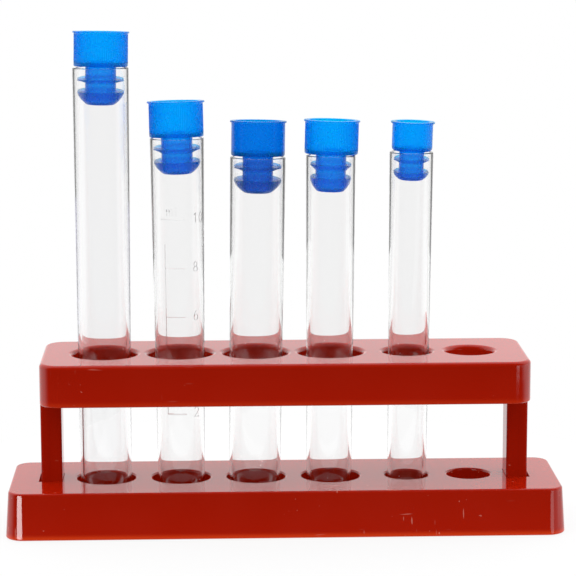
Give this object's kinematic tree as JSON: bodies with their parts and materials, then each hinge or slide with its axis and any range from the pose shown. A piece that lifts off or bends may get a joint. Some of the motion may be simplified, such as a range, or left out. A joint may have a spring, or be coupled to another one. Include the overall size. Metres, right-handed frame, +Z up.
{
  "type": "test tube rack with stoppered tubes",
  "caption": "Moulded rack holding a row of clear round-bottomed tubes, each closed by a ribbed push-in stopper, with one place left empty.",
  "frame": {"origin": "centre of the base's underside, on the table", "axes": "+X along the row from the tallest tube to the empty place, +Y to the back, +Z up"},
  "size_m": [0.1652, 0.0412, 0.1473],
  "materials": {
    "red_plastic": "gloss",
    "clear_plastic": "clear gloss",
    "blue_plastic": "satin"
  },
  "bodies": {
    "rack": {"rack_base": "red_plastic", "rack_tray": "red_plastic", "post_left": "red_plastic", "post_right": "red_plastic"},
    "tube_130mm_wide": {"tube_130mm_wide": "clear_plastic"},
    "stopper_130mm_wide": {"stopper_130mm_wide": "blue_plastic"},
    "tube_graduated": {"tube_graduated": "clear_plastic"},
    "stopper_graduated": {"stopper_graduated": "blue_plastic"},
    "tube_100mm_wide": {"tube_100mm_wide": "clear_plastic"},
    "stopper_100mm_wide": {"stopper_100mm_wide": "blue_plastic"},
    "tube_100mm_medium": {"tube_100mm_medium": "clear_plastic"},
    "stopper_100mm_medium": {"stopper_100mm_medium": "blue_plastic"},
    "tube_100mm_narrow": {"tube_100mm_narrow": "clear_plastic"},
    "stopper_100mm_narrow": {"stopper_100mm_narrow": "blue_plastic"}
  },
  "joints": [
    {"name": "lift_130mm_wide", "type": "slide", "parent": "rack", "child": "tube_130mm_wide", "axis": [0, 0.0244, 0.9997], "range_m": [0, 0.055]},
    {"name": "pull_130mm_wide", "type": "slide", "parent": "tube_130mm_wide", "child": "stopper_130mm_wide", "axis": [0, 0.0244, 0.9997], "range_m": [0, 0.035]},
    {"name": "lift_graduated", "type": "slide", "parent": "rack", "child": "tube_graduated", "axis": [-0.0045, 0.0244, 0.9997], "range_m": [0, 0.055]},
    {"name": "pull_graduated", "type": "slide", "parent": "tube_graduated", "child": "stopper_graduated", "axis": [-0.0045, 0.0244, 0.9997], "range_m": [0, 0.035]},
    {"name": "lift_100mm_wide", "type": "slide", "parent": "rack", "child": "tube_100mm_wide", "axis": [0.0148, 0.0244, 0.9996], "range_m": [0, 0.055]},
    {"name": "pull_100mm_wide", "type": "slide", "parent": "tube_100mm_wide", "child": "stopper_100mm_wide", "axis": [0.0148, 0.0244, 0.9996], "range_m": [0, 0.035]},
    {"name": "lift_100mm_medium", "type": "slide", "parent": "rack", "child": "tube_100mm_medium", "axis": [0.0068, 0.0244, 0.9997], "range_m": [0, 0.055]},
    {"name": "pull_100mm_medium", "type": "slide", "parent": "tube_100mm_medium", "child": "stopper_100mm_medium", "axis": [0.0068, 0.0244, 0.9997], "range_m": [0, 0.035]},
    {"name": "lift_100mm_narrow", "type": "slide", "parent": "rack", "child": "tube_100mm_narrow", "axis": [0.0099, 0.007, 0.9999], "range_m": [0, 0.055]},
    {"name": "pull_100mm_narrow", "type": "slide", "parent": "tube_100mm_narrow", "child": "stopper_100mm_narrow", "axis": [0.0099, 0.007, 0.9999], "range_m": [0, 0.035]}
  ]
}
